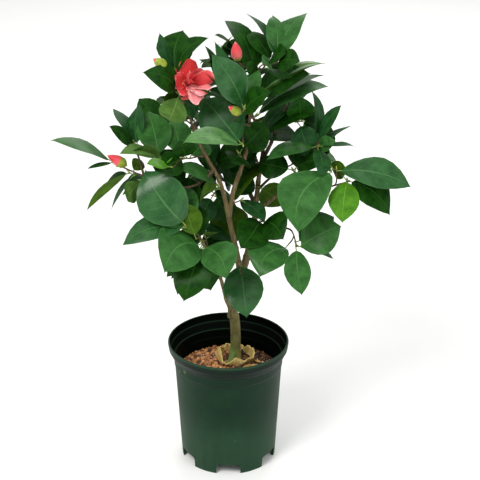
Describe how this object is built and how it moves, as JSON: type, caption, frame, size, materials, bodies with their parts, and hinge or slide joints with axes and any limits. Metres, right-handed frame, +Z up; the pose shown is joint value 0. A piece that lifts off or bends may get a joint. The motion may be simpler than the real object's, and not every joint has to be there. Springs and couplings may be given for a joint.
{
  "type": "potted camellia shrub",
  "caption": "Young evergreen camellia shrub in a plastic nursery pot: forked trunk, boughs, open glossy crown, for a patio or garden row.",
  "frame": {"origin": "centre of the pot's flat underside", "axes": "+Z up along the pot's axis, +X to the shrub's right seen from its front, +Y to its back"},
  "size_m": [0.4667, 0.2659, 0.6284],
  "materials": {
    "pot": "satin",
    "soil": "matte",
    "root_wrap": "matte",
    "bark": "matte",
    "foliage": "satin"
  },
  "bodies": {
    "root": {"pot": "pot", "soil": "soil", "root_wrap": "root_wrap", "trunk": "bark", "stem_main": "bark", "stem_left": "bark", "stem_middle": "bark", "stem_upright": "bark", "bough_right": "bark", "bough_far_right": "bark", "bough_front_right": "bark", "bough_low_right": "bark", "bough_left": "bark", "bough_left_front": "bark", "bough_left_high": "bark", "bough_upper": "bark", "bough_front_upper": "bark", "bough_low_front": "bark", "bough_back_left": "bark", "bough_back_right": "bark", "bough_back_middle": "bark", "bough_back_top": "bark", "foliage_top": "foliage", "foliage_upper_left": "foliage", "foliage_upper_front": "foliage", "foliage_upper_right": "foliage", "foliage_right": "foliage", "foliage_inner_right": "foliage", "foliage_front_right": "foliage", "foliage_far_right": "foliage", "foliage_low_right": "foliage", "foliage_centre_low": "foliage", "foliage_low_front": "foliage", "foliage_low_left": "foliage", "foliage_left_front": "foliage", "foliage_left": "foliage", "foliage_left_high": "foliage", "foliage_far_left": "foliage", "foliage_inner": "foliage", "foliage_back_left": "foliage", "foliage_back_right": "foliage", "foliage_back_top": "foliage", "foliage_back": "foliage"}
  },
  "joints": []
}
